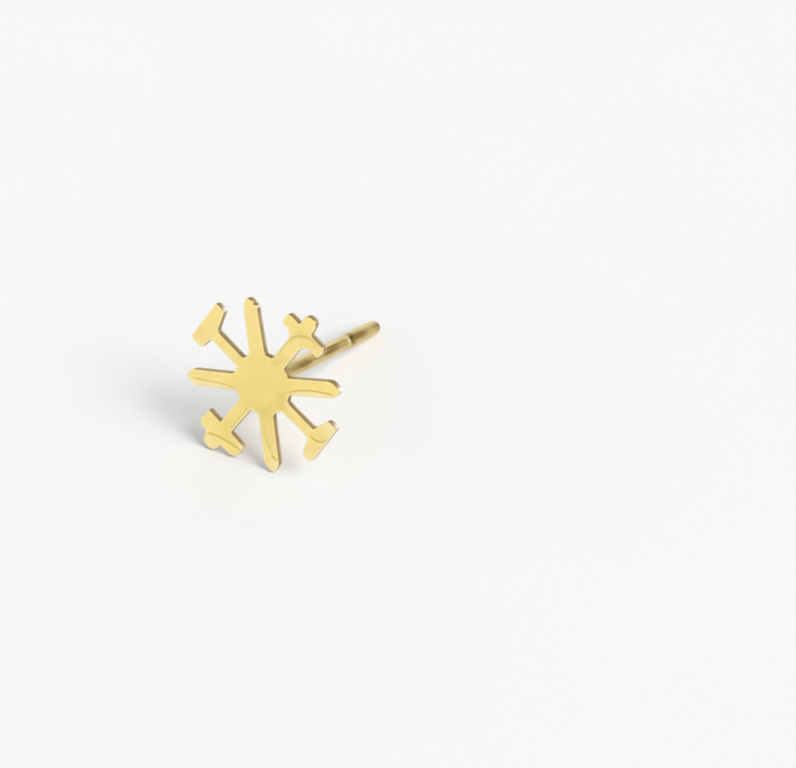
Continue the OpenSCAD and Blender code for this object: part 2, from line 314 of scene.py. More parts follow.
class StudShape:
    """Outline of the snowflake, and the turn and shift that lay the stud down, from the CAD's own sizes."""

    def __init__(self, scene):
        group = scene.snowflake_plate
        plate = Millimetres(group)
        self.plate = plate
        self.post = Millimetres(scene.snowflake_post)
        self.thickness = plate.thickness
        self.post_radius = self.post.diameter / 2
        eighth = math.pi / 4
        lower_cross = placed(self.lower_cross(), 5 * eighth + group.lower_cross_lean)
        low_spike = placed(
            self.spike(plate.spike_reach + plate.low_spike_extra), 6 * eighth + group.low_spike_lean)
        self.outline = rounded(np.vstack([
            placed(self.spike(plate.spike_reach, shift=-0.08), group.right_lean),
            placed(self.upper_cross(), eighth + group.upper_cross_lean),
            placed(self.spike(plate.spike_reach, shift=0.1, taper=plate.top_spike_taper),
                   2 * eighth + group.top_lean),
            placed(self.hammer(-plate.upper_head_shift, plate.hammer_end, HEAD_SHARP_END,
                               plate.upper_head_left, HEAD_SOFT_END), 3 * eighth),
            placed(self.spike(plate.spike_reach, shift=-0.1), 4 * eighth + group.left_lean),
            lower_cross,
            low_spike,
            placed(self.hammer(0, plate.hammer_end, HEAD_SOFT_END, plate.hammer_end, HEAD_SHARP_END),
                   7 * eighth + group.lower_hammer_lean),
        ]))
        self.lay_down(rounded(lower_cross), rounded(low_spike))

    def root(self, width):
        """Distance from the middle to where an arm of this width leaves the rim of the hub."""
        return math.sqrt(self.plate.hub_radius ** 2 - width ** 2 / 4)

    def spike(self, reach, shift=0.0, taper=0.0):
        """Corner rows (along, across, radius) of a plain spike, its point off the middle by the shift.

        The corner of the point lies past the reach by radius / sin(half angle) - radius, which the arc
        takes off again.
        """
        w = self.plate.spike_width
        half = math.atan2(w / 2, self.plate.spike_point)
        tip = reach + SPIKE_TIP * (1 / math.sin(half) - 1)
        shoulder = tip - self.plate.spike_point
        return np.array([
            [self.root(w), -w / 2, self.plate.root_round],
            [shoulder, taper - w / 2, SPIKE_SHOULDER],
            [tip, shift, SPIKE_TIP],
            [shoulder, w / 2 - taper, SPIKE_SHOULDER],
            [self.root(w), w / 2, self.plate.root_round],
        ])

    def hammer(self, shift, first, first_round, last, last_round):
        """Corner rows of a hammer-headed arm, whose two ends have their own thickness and rounding."""
        plate = self.plate
        arm = plate.hammer_arm / 2
        head = plate.hammer_width / 2
        reach = plate.hammer_reach
        return shifted(np.array([
            [self.root(2 * arm), -arm, plate.root_round],
            [reach - plate.hammer_middle, -arm, HEAD_ROOT],
            [reach - first, -head, first_round],
            [reach, -head, first_round],
            [reach, head, last_round],
            [reach - last, head, last_round],
            [reach - plate.hammer_middle, arm, HEAD_ROOT],
            [self.root(2 * arm), arm, plate.root_round],
        ]), HEAD_ROWS, shift)

    def cross(self, reach, bar_at, bar_width, thickness, arm, tip, taper, corner, end_round, tip_round):
        """Corner rows of a cross arm, whose bar sits back from its tip."""
        low = bar_at - thickness / 2
        high = bar_at + thickness / 2
        return both_sides([
            [self.root(arm), -arm / 2, self.plate.root_round],
            [low, -arm / 2, corner],
            [low, -bar_width / 2, end_round],
            [high, -bar_width / 2, thickness * BAR_ROUND],
            [high, -tip / 2, TIP_ROOT],
            [reach, taper - tip / 2, tip_round],
        ])

    def upper_cross(self):
        """The upper cross, its bar moved to the right and the end of its tip a little to the left."""
        plate = self.plate
        rows = self.cross(
            plate.upper_reach, plate.upper_bar_at, plate.upper_bar_width, plate.upper_bar_thickness,
            plate.upper_arm, plate.upper_tip, plate.upper_tip_taper,
            corner=plate.upper_corner, end_round=0.2, tip_round=0.36)
        rows = shifted(rows, BAR_ROWS, -plate.upper_bar_shift)
        rows = shifted(rows, TIP_ROWS, plate.upper_bar_shift)
        return shifted(rows, TIP_END_ROWS, 0.06)

    def lower_cross(self):
        """The lower cross, its bar and tip moved to where they sit, one lobe of the bar rounder."""
        plate = self.plate
        rows = self.cross(
            plate.lower_reach, plate.lower_bar_at, plate.lower_bar_width, plate.lower_bar_thickness,
            plate.lower_arm, plate.lower_tip, plate.lower_tip_taper,
            corner=0.08, end_round=0.12, tip_round=0.37)
        rows = shifted(rows, BAR_ROWS, plate.lower_bar_shift)
        rows = shifted(rows, TIP_ROWS, -plate.lower_bar_shift - plate.lower_tip_shift)
        rows[LOBE_ROW, 2] = plate.lower_lobe
        return rows

    def lay_down(self, lower_cross, low_spike):
        """Finds the turn and shift of the stud at rest on the lower cross, low spike and end of the post.

        Down is the direction in which the cross and the spike reach equally far. It lies between the two
        arms, and is found by halving their angle. The lean is the one at which the plate's back edge and
        the post's round end touch the same floor.
        """
        low, high = math.radians(225), math.radians(270)
        for _ in range(HALVINGS):
            middle = (low + high) / 2
            if farthest(lower_cross, middle) > farthest(low_spike, middle):
                low = middle
            else:
                high = middle
        down = (low + high) / 2
        spin = math.radians(270) - down
        stand = farthest(self.outline, down)
        r = self.post_radius
        end = self.post.length - r
        lean = math.acos(r / math.hypot(stand, end)) - math.atan2(end, stand)
        low_y = -stand * math.sin(lean)
        high_y = (self.thickness + end) * math.cos(lean) + r
        low_x = -farthest(self.outline, math.pi - spin)
        high_x = farthest(self.outline, -spin)
        front = stand * math.cos(lean) + self.thickness * math.sin(lean)
        self.turn = np.array(Matrix.Rotation(math.pi / 2 - lean, 3, "X") @ Matrix.Rotation(spin, 3, "Z"))
        self.shift = np.array([-(low_x + high_x) / 2, -(low_y + high_y) / 2, front])

    def metres_at_rest(self, points):
        """Points of the stud's own frame in millimetres, turned and shifted to the rest pose in metres."""
        return (points @ self.turn.T + self.shift) * MM


def closely_spaced(loop, gap):
    """A closed line cut evenly into pieces no longer than the gap, the way so far and the whole way."""
    step = np.roll(loop, -1, axis=0) - loop
    length = np.linalg.norm(step, axis=1)
    cuts = np.maximum(np.ceil(length / gap), 1).astype(int)
    piece = np.repeat(np.arange(len(loop)), cuts)
    part = (np.arange(len(piece)) - np.repeat(np.cumsum(cuts) - cuts, cuts)) / cuts[piece]
    so_far = (np.cumsum(length) - length)[piece] + length[piece] * part
    return loop[piece] + step[piece] * part[:, None], so_far, length.sum()


def outward(loop):
    """Unit normals of an anticlockwise closed line: the mean of its two edges' normals at each point."""
    edge = unit(np.roll(loop, -1, axis=0) - loop)
    normal = np.stack([edge[:, 1], -edge[:, 0]], axis=1)
    return unit(normal + np.roll(normal, 1, axis=0))


def inside(points, loop):
    """Whether each point is inside a closed line: a ray to its right crosses it an odd number of times."""
    x, y = points[:, :1], points[:, 1:]
    x0, y0 = loop[:, 0], loop[:, 1]
    x1, y1 = np.roll(x0, -1), np.roll(y0, -1)
    spans = (y0 > y) != (y1 > y)
    rise = np.where(y1 == y0, 1.0, y1 - y0)
    crossing = x0 + (y - y0) * (x1 - x0) / rise
    return np.sum(spans & (x < crossing), axis=1) % 2 == 1


def nearest(points, loop):
    """Distance from each point to the nearest of the line's points, and which of them it is."""
    far = (points[:, :1] - loop[:, 0]) ** 2 + (points[:, 1:] - loop[:, 1]) ** 2
    return np.sqrt(far.min(axis=1)), far.argmin(axis=1)


def smooth(low, high, x):
    """Rises from 0 at low to 1 at high as 3t^2 - 2t^3."""
    t = np.clip((x - low) / (high - low), 0, 1)
    return t * t * (3 - 2 * t)


# Pressed lines of the face in plate millimetres: four points, slope of the sheet past the line, width,
# strength of the painted shade along the line and of the painted highlight just past it. The sheet drops
# away on the right-hand side as one goes from the first point to the last.
PRESSED_LINES = (
    (((-4.45, 0.24), (-3.45, 0.08), (-2.45, -0.05), (-1.45, -0.34)), 0.10, 0.05, 0.65, 0.45),
    (((1.50, -0.40), (2.40, -0.21), (3.40, -0.23), (4.42, -0.40)), 0.10, 0.045, 0.95, 0.65),
    (((-0.12, -1.95), (-0.10, -2.70), (0.07, -3.40), (0.24, -3.92)), 0.04, 0.04, 0.45, 0.20),
    (((0.14, -3.78), (0.28, -4.00), (0.48, -4.08), (0.72, -4.03)), 0.10, 0.055, 1.00, 0.35),
    (((1.15, 1.50), (1.98, 2.46), (2.90, 2.66), (4.02, 1.96)), 0.07, 0.06, 0.70, 0.12),
    (((-3.82, -2.84), (-3.15, -2.99), (-2.45, -3.31), (-1.66, -3.77)), 0.10, 0.06, 1.00, 0.18),
    (((-2.34, -2.64), (-1.82, -2.10), (-1.36, -1.63), (-0.88, -1.13)), 0.08, 0.04, 0.60, 0.45),
    (((2.64, -2.52), (3.05, -2.88), (3.65, -2.80), (4.23, -2.31)), 0.10, 0.05, 1.00, 0.25),
)

# Round places of the finish in plate millimetres: middle, radius, amount. These are plainer.
SATIN_PLACES = (
    ((2.78, 2.72), 0.45, 0.6),
    ((-2.75, -2.75), 0.60, 0.9),
    ((3.08, -2.78), 0.38, 0.9),
    ((0.10, -3.00), 0.60, 0.8),
    ((0.00, -1.70), 0.50, 0.5),
    ((-1.90, -1.75), 0.50, 0.6),
)

# Places of the face that get a painted highlight, the brightest of the face.
HIGHLIGHT_PLACES = (
    ((1.37, -0.99), 0.13, 0.35),
    ((1.55, -1.16), 0.14, 0.30),
    ((0.50, -3.20), 0.30, 0.3),
    ((2.50, -3.75), 0.35, 0.5),
    ((-3.10, -0.30), 0.35, 0.5),
    ((3.97, 2.02), 0.13, 0.8),
    ((-1.70, -3.55), 0.11, 0.9),
    ((3.80, -2.20), 0.40, 0.55),
    ((0.15, -4.42), 0.26, 0.6),
    ((-3.62, 2.08), 0.22, 0.5),
    ((-4.35, 0.10), 0.25, 0.4),
    ((-3.70, -3.40), 0.30, 0.5),
)

# Places of the face where the polish is redder.
WARM_PLACES = (
    ((-3.40, 2.50), 0.55, 0.45),
    ((-2.80, 0.05), 0.70, 0.30),
    ((0.05, -2.90), 0.60, 0.40),
    ((0.05, -0.95), 0.50, 0.15),
    ((3.85, 1.95), 0.40, 0.60),
    ((2.55, -3.55), 0.50, 0.35),
    ((0.05, 3.20), 0.60, 0.30),
)

# Places of the face that are painted darker: painted shade at the roots of the arms, and a darker tone
# elsewhere.
DARKER_PLACES = (
    ((1.15, -0.65), 0.35, 0.20),
    ((1.25, -1.80), 0.35, 0.25),
    ((1.75, 1.25), 0.35, 0.20),
    ((1.05, 1.20), 0.24, 0.25),
    ((-3.60, 3.00), 0.30, 0.25),
    ((3.60, 2.40), 0.30, 0.25),
    ((-2.40, 1.80), 0.40, 0.15),
    ((-2.40, -2.30), 0.35, 0.15),
)

# Painted glints on the sawn edge, and painted shade where the amount is below 0.
EDGE_GLINTS_AND_SHADE = (
    ((4.60, -0.12), 0.20, 1.0),
    ((4.29, 0.24), 0.13, -1.0),
    ((-1.81, 3.95), 0.14, 1.0),
    ((4.19, -2.05), 0.17, 0.9),
    ((1.27, -0.92), 0.14, 0.8),
    ((1.48, -0.70), 0.14, -1.0),
    ((0.12, 4.36), 0.10, -1.0),
    ((0.27, 4.14), 0.08, 0.9),
    ((0.30, 3.95), 0.12, -1.0),
    ((-1.65, -3.60), 0.22, 0.6),
    ((4.15, 1.86), 0.28, -1.0),
)

# Nicks of the outline in plate millimetres: middle, radius, depth. Below 0, a burr.
NICKS = (
    ((0.13, 4.38), 0.07, 0.08),
    ((0.30, 4.13), 0.07, -0.04),
)

# Points of a pressed line, and those of them over which it fades at each end.
LINE_POINTS = 90
LINE_FADE = 10
# Distance past a line over which the drop of the sheet levels off, and those between which the drop fades
# away from the line and appears away from the middle of the hub, in millimetres.
DROP_LENGTH = 0.5
DROP_FADE = (0.4, 1.9)
HUB_FADE = (1.0, 2.0)
# Distances past a line, and from its nearest point, between which the painted highlight fades, in
# millimetres.
BAND_FADE = (0.16, 0.45)
BAND_END = (0.3, 0.5)


def pressed_line(line_points):
    """Points of the cubic that passes through four points at t = 0, 1/3, 2/3 and 1, and its directions."""
    t = np.linspace(0, 1, LINE_POINTS)[:, None]
    weights = (
        -(3 * t - 1) * (3 * t - 2) * (t - 1) / 2, 9 * t * (3 * t - 2) * (t - 1) / 2,
        -9 * t * (3 * t - 1) * (t - 1) / 2, t * (3 * t - 1) * (3 * t - 2) / 2)
    line = sum(weight * np.array(point) for weight, point in zip(weights, line_points))
    return line, unit(np.gradient(line, axis=0))


def line_net():
    """Points along the pressed lines and beside them, at up to two widths on either side."""
    rows = []
    for line_points, _, width, _, _ in PRESSED_LINES:
        line, along = pressed_line(line_points)
        aside = np.stack([along[:, 1], -along[:, 0]], axis=1)
        for step in (-2.0, -1.0, -0.5, 0.0, 0.5, 1.0, 2.0):
            rows.append(line[1:-1:2] + aside[1:-1:2] * step * width)
    return np.concatenate(rows)


def pressed(points):
    """Drop of the face, painted shade along its pressed lines and painted highlight just past them, at plate
    points.

    Beyond each line the sheet drops by slope * L * tanh(s / L), where s is the distance past the line,
    softened over the line's width, and L is the drop's length. The drop fades with the distance from the
    line and towards the hub. The painted shade is a bell curve of the distance to the line, and the
    painted highlight lies in a strip just past it. Both fade to nothing at the line's ends.
    """
    drop = np.zeros(len(points))
    line_shade = np.zeros(len(points))
    bright = np.zeros(len(points))
    here = np.arange(len(points))
    for line_points, slope, width, depth, light in PRESSED_LINES:
        line, along = pressed_line(line_points)
        along_line = np.arange(LINE_POINTS)
        taper = smooth(0, LINE_FADE, along_line) * smooth(0, LINE_FADE, along_line[::-1])
        away = points[:, None] - line[None]
        far = np.sum(away ** 2, axis=2)
        at = np.argmin(far, axis=1)
        distance = np.sqrt(far[here, at])
        side = away[here, at, 0] * along[at, 1] - away[here, at, 1] * along[at, 0]
        past = (side + np.sqrt(side ** 2 + width ** 2)) / 2
        drop += slope * DROP_LENGTH * np.tanh(past / DROP_LENGTH) * (1 - smooth(*DROP_FADE, distance))
        line_shade = np.maximum(line_shade, depth * taper[at] * np.exp(-(distance / width) ** 2))
        band = smooth(0.6 * width, 2.2 * width, side) * (1 - smooth(*BAND_FADE, side))
        bright = np.maximum(bright, light * band * taper[at] * (1 - smooth(*BAND_END, distance)))
    return drop * smooth(*HUB_FADE, np.linalg.norm(points, axis=1)), line_shade, bright


def spots(points, places):
    """A bell curve round each place, all added up, at plate points."""
    total = np.zeros(len(points))
    for middle, radius, amount in places:
        distance = np.linalg.norm(points[:, :2] - np.array(middle), axis=1)
        total += amount * np.exp(-(distance / radius) ** 2)
    return total


def hand_waves(points):
    """Slight unevenness of sheet that was cut and polished by hand: a sum of three slow sine waves.

    The highest that the three can reach is taken off, so that the face never rises above z = 0.
    """
    x, y = points[:, 0], points[:, 1]
    highest = 1 + 1 + 0.6
    waves = np.sin(1.9 * x + 0.7 * y + 0.4) + np.sin(1.5 * y - 1.1 * x + 1.9)
    waves = waves + 0.6 * np.sin(3.1 * x - 2.3 * y)
    return WAVE_HEIGHT * (waves - highest)


def built(name, points, face_groups, material, values=None):
    """A mesh object at the origin from rows of points in metres and arrays of faces, shaded smooth."""
    corners = np.concatenate([faces.ravel() for faces in face_groups])
    sides = np.concatenate([np.full(len(faces), faces.shape[1]) for faces in face_groups])
    mesh = bpy.data.meshes.new(name)
    mesh.vertices.add(len(points))
    mesh.vertices.foreach_set("co", points.ravel())
    mesh.loops.add(len(corners))
    mesh.loops.foreach_set("vertex_index", corners)
    mesh.polygons.add(len(sides))
    mesh.polygons.foreach_set("loop_start", np.append(0, np.cumsum(sides)[:-1]))
    mesh.update(calc_edges=True)
    if mesh.validate():
        raise RuntimeError(f"the mesh of {name} had faulty faces")
    mesh.polygons.foreach_set("use_smooth", np.ones(len(sides), dtype=bool))
    for key, row in (values or {}).items():
        mesh.attributes.new(key, "FLOAT", "POINT").data.foreach_set("value", row.astype(np.float32))
    mesh.materials.append(material)
    piece = bpy.data.objects.new(name, mesh)
    bpy.context.scene.collection.objects.link(piece)
    return piece


def dressed(piece):
    """Hides the CAD stud, which the piece stands for, and hangs the piece under the root body."""
    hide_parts(NODE)
    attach(piece, "root")
    return piece


def ring_faces(rows, count, closed_rows=False):
    """Four-sided faces between neighbouring rows of a grid whose rows are closed rings of count points."""
    last = rows if closed_rows else rows - 1
    row = np.arange(last)[:, None] * count
    below = (np.arange(1, last + 1)[:, None] % rows) * count
    at = np.arange(count)[None]
    after = (at + 1) % count
    return np.stack([row + at, below + at, below + after, row + after], axis=-1).reshape(-1, 4)


class Signal:
    """A value that varies over a surface. Each operator on it adds one Math node to the material."""

    def __init__(self, finish, socket):
        self.finish = finish
        self.socket = socket

    def maths(self, operation, first, second=0.0):
        """The Math node of one operation on two signals or numbers."""
        return self.finish.node("Math", {"operation": operation}, {0: first, 1: second})

    def __add__(self, other):
        return self.maths("ADD", self, other)

    def __sub__(self, other):
        return self.maths("SUBTRACT", self, other)

    def __rsub__(self, other):
        return self.maths("SUBTRACT", other, self)

    def __mul__(self, other):
        return self.maths("MULTIPLY", self, other)

    __radd__ = __add__
    __rmul__ = __mul__


class Finish:
    """The nodes of a material or of the room."""

    def __init__(self, owner):
        owner.use_nodes = True
        self.owner = owner
        self.tree = owner.node_tree
        self.tree.nodes.clear()

    def node(self, kind, settings=None, sockets=None, output=0):
        """Adds a node, sets its settings, then gives each named socket its value or its link."""
        node = self.tree.nodes.new("ShaderNode" + kind)
        for name, value in (settings or {}).items():
            setattr(node, name, value)
        for name, value in (sockets or {}).items():
            if isinstance(value, Signal):
                self.tree.links.new(value.socket, node.inputs[name])
            else:
                node.inputs[name].default_value = value
        return Signal(self, node.outputs[output]) if node.outputs else node

    def stud_place(self, shape, stretch=(1, 1, 1)):
        """Place in the stud's own frame in millimetres, the Object coordinates turned and shifted back."""
        back = Matrix(shape.turn.T.tolist())
        place = self.node("TexCoord", output="Object")
        own = self.node("Mapping", {"vector_type": "POINT"}, {
            "Vector": place,
            "Scale": (1 / MM, 1 / MM, 1 / MM),
            "Rotation": back.to_euler("XYZ"),
            "Location": -(back @ Vector(shape.shift.tolist())),
        })
        return self.node("VectorMath", {"operation": "MULTIPLY"}, {0: own, 1: stretch})

    def cloud(self, place, scale, detail=2.0, low=0.0, high=1.0):
        """Noise between low and high, which it reaches where the plain noise is below 0.3 and above 0.7."""
        noise = self.node("TexNoise", {"noise_dimensions": "3D"}, {
            "Vector": place, "Scale": scale, "Detail": detail})
        return self.node("MapRange", {"clamp": True}, {
            "Value": noise, "From Min": 0.3, "From Max": 0.7, "To Min": low, "To Max": high})

    def drift(self, place, scale, detail=3.0):
        """Noise between -1 and 1."""
        return self.cloud(place, scale, detail, low=-1.0, high=1.0)

    def painted(self, amount, under, over):
        """One colour painted over another by an amount between 0 and 1.

        Sockets 6 and 7 and output 2 are those that a Mix node has for colours.
        """
        ends = {6: under, 7: over}
        sockets = {key: tuple(c) + (1,) if not isinstance(c, Signal) else c for key, c in ends.items()}
        return self.node("Mix", {"data_type": "RGBA"}, {0: amount, **sockets}, output=2)

    def shaded(self, amount, colour_value):
        """A colour multiplied by a grey amount."""
        grey = self.node("CombineColor", {}, {0: amount, 1: amount, 2: amount})
        return self.node("Mix", {"data_type": "RGBA", "blend_type": "MULTIPLY"},
                         {0: 1.0, 6: colour_value, 7: grey}, output=2)

    def mark(self, name):
        """A named value of the mesh."""
        return self.node("Attribute", {"attribute_name": name}, output="Fac")

    def metal(self, base, roughness, height, microns):
        """Ends the material: a bare metal, whose bump is so many microns high."""
        bump = self.node("Bump", {}, {"Height": height, "Distance": microns * 1e-6, "Strength": 1.0})
        metal = self.node("BsdfPrincipled", {}, {
            "Base Color": base, "Roughness": roughness, "Metallic": 1.0, "Normal": bump})
        self.node("OutputMaterial", {}, {"Surface": metal})
        return self.owner


def polished_gold(shape, gold):
    """Polished face with a satin hub, pressed lines and fine scratches, painted shade and painted
    highlights; sawn edges with painted shade and glints; plainer back.
    """
    finish = Finish(bpy.data.materials.new("polished_gold"))
    place = finish.stud_place(shape)
    wall = finish.mark("wall")
    back = finish.mark("back")
    satin = finish.mark("satin")
    broad = finish.drift(place, 0.9)
    grain = finish.drift(place, 5.0)
    sawn = finish.drift(finish.stud_place(shape, (1, 1, 0.12)), 9.0)
    scratches = finish.cloud(finish.stud_place(shape, (1.6, 17.0, 1.0)), 1.0)
    base = finish.painted(satin, gold.face, gold.hub)
    base = finish.painted(finish.mark("warm") + 0.10 * grain, base, gold.warm)
    # Painted shade along the pressed lines, and the darker ring and places.
    base = finish.painted(finish.mark("pressed"), base, gold.crease_shade_and_tone)
    # Painted highlight along the rolled edge and just past the pressed lines.
    base = finish.painted(finish.mark("rim"), base, gold.rim)
    # Painted highlight at the brightest places and just inside the shaded edges.
    base = finish.painted(finish.mark("painted_highlight"), base, gold.painted_highlight)
    base = finish.painted(back, base, gold.back)
    # Painted shade on the sawn edge that faces right and up, and in the corners of the arms.
    edge = finish.painted(finish.mark("shade") + 0.10 * sawn, gold.wall, gold.shade)
    base = finish.painted(wall, base, edge)
    # Painted glints on the sawn edge.
    base = finish.painted(finish.mark("edge_glint"), base, gold.edge_glint)
    lightness = 0.98 + 0.03 * broad + 0.02 * grain + 0.08 * (wall * sawn)
    base = finish.shaded(lightness - 0.035 * ((satin + back) * scratches), base)
    fine = finish.cloud(place, 14.0, detail=4.0)
    roughness = gold.face_roughness + 0.03 * fine + 0.05 * satin + 0.03 * scratches
    roughness = roughness + wall * (gold.wall_roughness - gold.face_roughness) + 0.10 * back
    height = 0.35 * fine + 0.8 * scratches + 0.7 * (wall * sawn)
    return finish.metal(base, roughness, height, 1.2)


def drawn_wire(shape, gold):
    """Drawn gold wire: fine lines along the post, olive brown in random streaks and in painted shade along
    one side, painted highlights, and painted shade in its groove.
    """
    finish = Finish(bpy.data.materials.new("drawn_gold_wire"))
    lines = finish.drift(finish.stud_place(shape, (6.0, 6.0, 0.22)), 1.0)
    patches = finish.drift(finish.stud_place(shape, (2.0, 2.0, 0.7)), 1.0)
    tarnish = finish.mark("tarnish")
    # Random darker streaks, and painted shade along one side, in the groove and at the end.
    base = finish.painted(tarnish + 0.28 * lines + 0.28 * patches, gold.post, gold.tarnish)
    # Painted highlight at the groove's rim and along the top.
    base = finish.painted(finish.mark("gleam"), base, gold.rim)
    # Painted shade deep in the groove.
    base = finish.painted(finish.mark("deep"), base, gold.groove)
    roughness = gold.post_roughness + 0.08 * lines + 0.05 * patches
    roughness = roughness + 0.35 * tarnish + 0.4 * finish.mark("cut")
    return finish.metal(base, roughness, lines, 1.6)


def soft_solder(shape, gold):
    """Solder with a slightly pebbled, duller skin."""
    finish = Finish(bpy.data.materials.new("gold_solder"))
    place = finish.stud_place(shape)
    pebbles = finish.cloud(place, 5.0, detail=3.0)
    patches = finish.drift(place, 1.6, detail=2.0)
    base = finish.shaded(0.94 + 0.08 * patches, finish.painted(0.5 * pebbles, gold.solder, gold.tarnish))
    return finish.metal(base, 0.34 + 0.12 * pebbles, pebbles, 5.0)


def pale_floor(floor):
    """Matt pale floor."""
    finish = Finish(bpy.data.materials.new("pale_floor"))
    place = finish.node("TexCoord", output="Object")
    tone = finish.node("TexNoise", {}, {"Vector": place, "Scale": 60.0, "Detail": 2.0})
    base = finish.shaded(0.995 + 0.01 * tone, tuple(floor) + (1,))
    sheet = finish.node("BsdfPrincipled", {}, {"Base Color": base, "Roughness": 0.9})
    finish.node("OutputMaterial", {}, {"Surface": sheet})
    return finish.owner


class OBJECT_OT_snowflake_plate(bpy.types.Operator):
    """Makes the flat snowflake, its rolled rim and its sawn edge"""

    bl_idname = "object.snowflake_plate"
    bl_label = "Snowflake plate"

    def execute(self, context):
        shape = StudShape(context.scene)
        plate = shape.plate
        loop, so_far, around = closely_spaced(shape.outline, OUTLINE_STEP)
        normal = outward(loop)
        # Each row of the rim is the outline moved in along its normals by the row's inset.
        inset, depth = self.rim_profile(shape)
        inset = inset[:, None] + self.saw_marks(so_far / around, len(inset)) + spots(loop, NICKS)
        rim = loop[None] - normal[None] * inset[..., None]
        ring = rim[0]
        middle = self.face_points(ring, plate.net)
        coarse = self.face_points(ring, BACK_NET * plate.net)
        front_net = self.triangles(ring, middle)
        back_net = self.triangles(rim[-1], coarse)
        front = np.vstack([rim.reshape(-1, 2), middle])
        drop, line_shade, bright = pressed(front)
        wave = hand_waves(front) - drop
        count = len(loop)
        rim_size = rim[..., 0].size
        rim_wave = wave[:rim_size].reshape(rim.shape[:2])
        rim_z = -depth[:, None] + rim_wave * (1 - depth[:, None] / shape.thickness)
        points = np.vstack([
            np.column_stack([rim.reshape(-1, 2), rim_z.ravel()]),
            np.column_stack([middle, wave[rim_size:]]),
            np.column_stack([coarse, np.full(len(coarse), -shape.thickness)]),
        ])
        front_net = np.where(front_net < count, front_net, front_net - count + rim_size)
        back_net = np.where(
            back_net < count, back_net + rim_size - count, back_net - count + rim_size + len(middle))
        faces = [ring_faces(len(inset), count), front_net, back_net[:, ::-1]]
        nearest_at = np.concatenate([np.tile(np.arange(count), len(inset)), nearest(middle, loop)[1]])
        values = self.marks(
            shape, points[:len(front)], depth, count, loop[nearest_at], normal[nearest_at])
        # Painted shade along the pressed lines, and a darker ring and places.
        values["pressed"] = np.maximum(line_shade, self.darker_ring(front)) * (1 - values["wall"])
        # Painted highlight just past the pressed lines, added to the rolled edge's.
        values["rim"] = np.maximum(values["rim"], bright * (1 - values["wall"]))
        behind = np.ones(len(coarse))
        values = {key: np.append(row, behind * (key == "back")) for key, row in values.items()}
        material = polished_gold(shape, context.scene.snowflake_gold)
        dressed(built("snowflake_plate", shape.metres_at_rest(points), faces, material, values))
        return {"FINISHED"}

    def rim_profile(self, shape):
        """How far in and how deep each row of the rim lies.

        The polished edge is a quarter of an ellipse in seven rows, the sawn edge is straight in three, and
        the edge at the back is a small quarter circle in four. The last row lies flat on the back, as far
        in as the first row on the front.
        """
        t = shape.thickness
        roll, back = shape.plate.rolled_edge, shape.plate.back_edge
        a = np.linspace(0, np.pi / 2, 7)
        b = np.linspace(0, np.pi / 2, 4)
        inset = np.concatenate([roll * (1 - np.sin(a)), np.zeros(3), back * (1 - np.cos(b)), [roll]])
        front_depth = ROLL_SHARE * roll * (1 - np.cos(a))
        wall_depth = np.linspace(ROLL_SHARE * roll, t - back, 5)[1:4]
        depth = np.concatenate([front_depth, wall_depth, t - back * (1 - np.sin(b)), [t]])
        return inset, depth

    def saw_marks(self, way, rows):
        """Slight waves of the sawn edge: three sines that fit a whole number of times into its length.

        They only cut into the edge, and fade towards the front and the back.
        """
        turns = way * 2 * np.pi
        highest = 0.6 + 0.5 + 0.4
        waves = highest + 0.6 * np.sin(61 * turns) + 0.5 * np.sin(97 * turns + 1)
        waves = waves + 0.4 * np.sin(173 * turns + 2)
        row = np.arange(rows)[:, None]
        return SAW_HEIGHT * waves * smooth(3, 7, row) * (1 - smooth(rows - 3, rows - 1, row))

    def face_points(self, ring, net):
        """Points along the pressed lines, and a triangular net of points in the rest of the ring.

        Every second row of the net is moved by half a step, and the rows are sqrt(3/4) of a step apart.
        """
        low, high = ring.min(axis=0), ring.max(axis=0)
        x = np.arange(low[0], high[0], net)
        y = np.arange(low[1], high[1], net * math.sqrt(0.75))
        grid = np.stack(np.meshgrid(x, y), axis=-1)
        grid[1::2, :, 0] += net / 2
        grid = grid.reshape(-1, 2)
        grid = grid[inside(grid, ring)]
        grid = grid[nearest(grid, ring)[0] > net * NET_TO_RING]
        lines = line_net()
        lines = lines[inside(lines, ring)]
        lines = lines[nearest(lines, ring)[0] > LINES_TO_RING]
        # The triangle of ones leaves each point to be held against those before it alone.
        apart = np.linalg.norm(lines[:, None] - lines[None], axis=2) + np.tri(len(lines))
        lines = lines[apart.min(axis=0) > LINES_APART]
        return np.vstack([lines, grid[nearest(grid, lines)[0] > net * NET_TO_LINES]])

    def triangles(self, ring, middle):
        """Triangles that fill the ring through all its points and the points inside it."""
        inside_only = 1
        tolerance = 1e-7
        at = np.arange(len(ring))
        edges = np.stack([at, np.roll(at, -1)], axis=1).tolist()
        made = delaunay_2d_cdt(np.vstack([ring, middle]).tolist(), edges, [], inside_only, tolerance)
        if len(made[0]) != len(ring) + len(middle):
            raise RuntimeError("the face of the plate couldn't be filled")
        return np.array(made[2])

    def marks(self, shape, points, depth, count, edge, normal):
        """How much each point belongs to the parts of the finish, from its depth and its nearest edge point.

        Each mark is a product of smooth steps of the depth, of the distance to the edge and of the way the
        edge faces. The rolled edge has a painted highlight where it faces left and down or right and down.
        Where it faces right and up, the sawn edge under it has the darkest painted shade, as have the
        corners between the arms, and a faint painted highlight runs along the face just inside it. The
        sawn edge also has painted glints, and painted shade in a few places.
        """
        plate = shape.plate
        roll = ROLL_SHARE * plate.rolled_edge
        deep = np.append(np.repeat(depth, count), np.zeros(len(points) - len(depth) * count))
        facing = normal @ direction(math.radians(210))
        facing_low_right = normal @ direction(math.radians(-50))
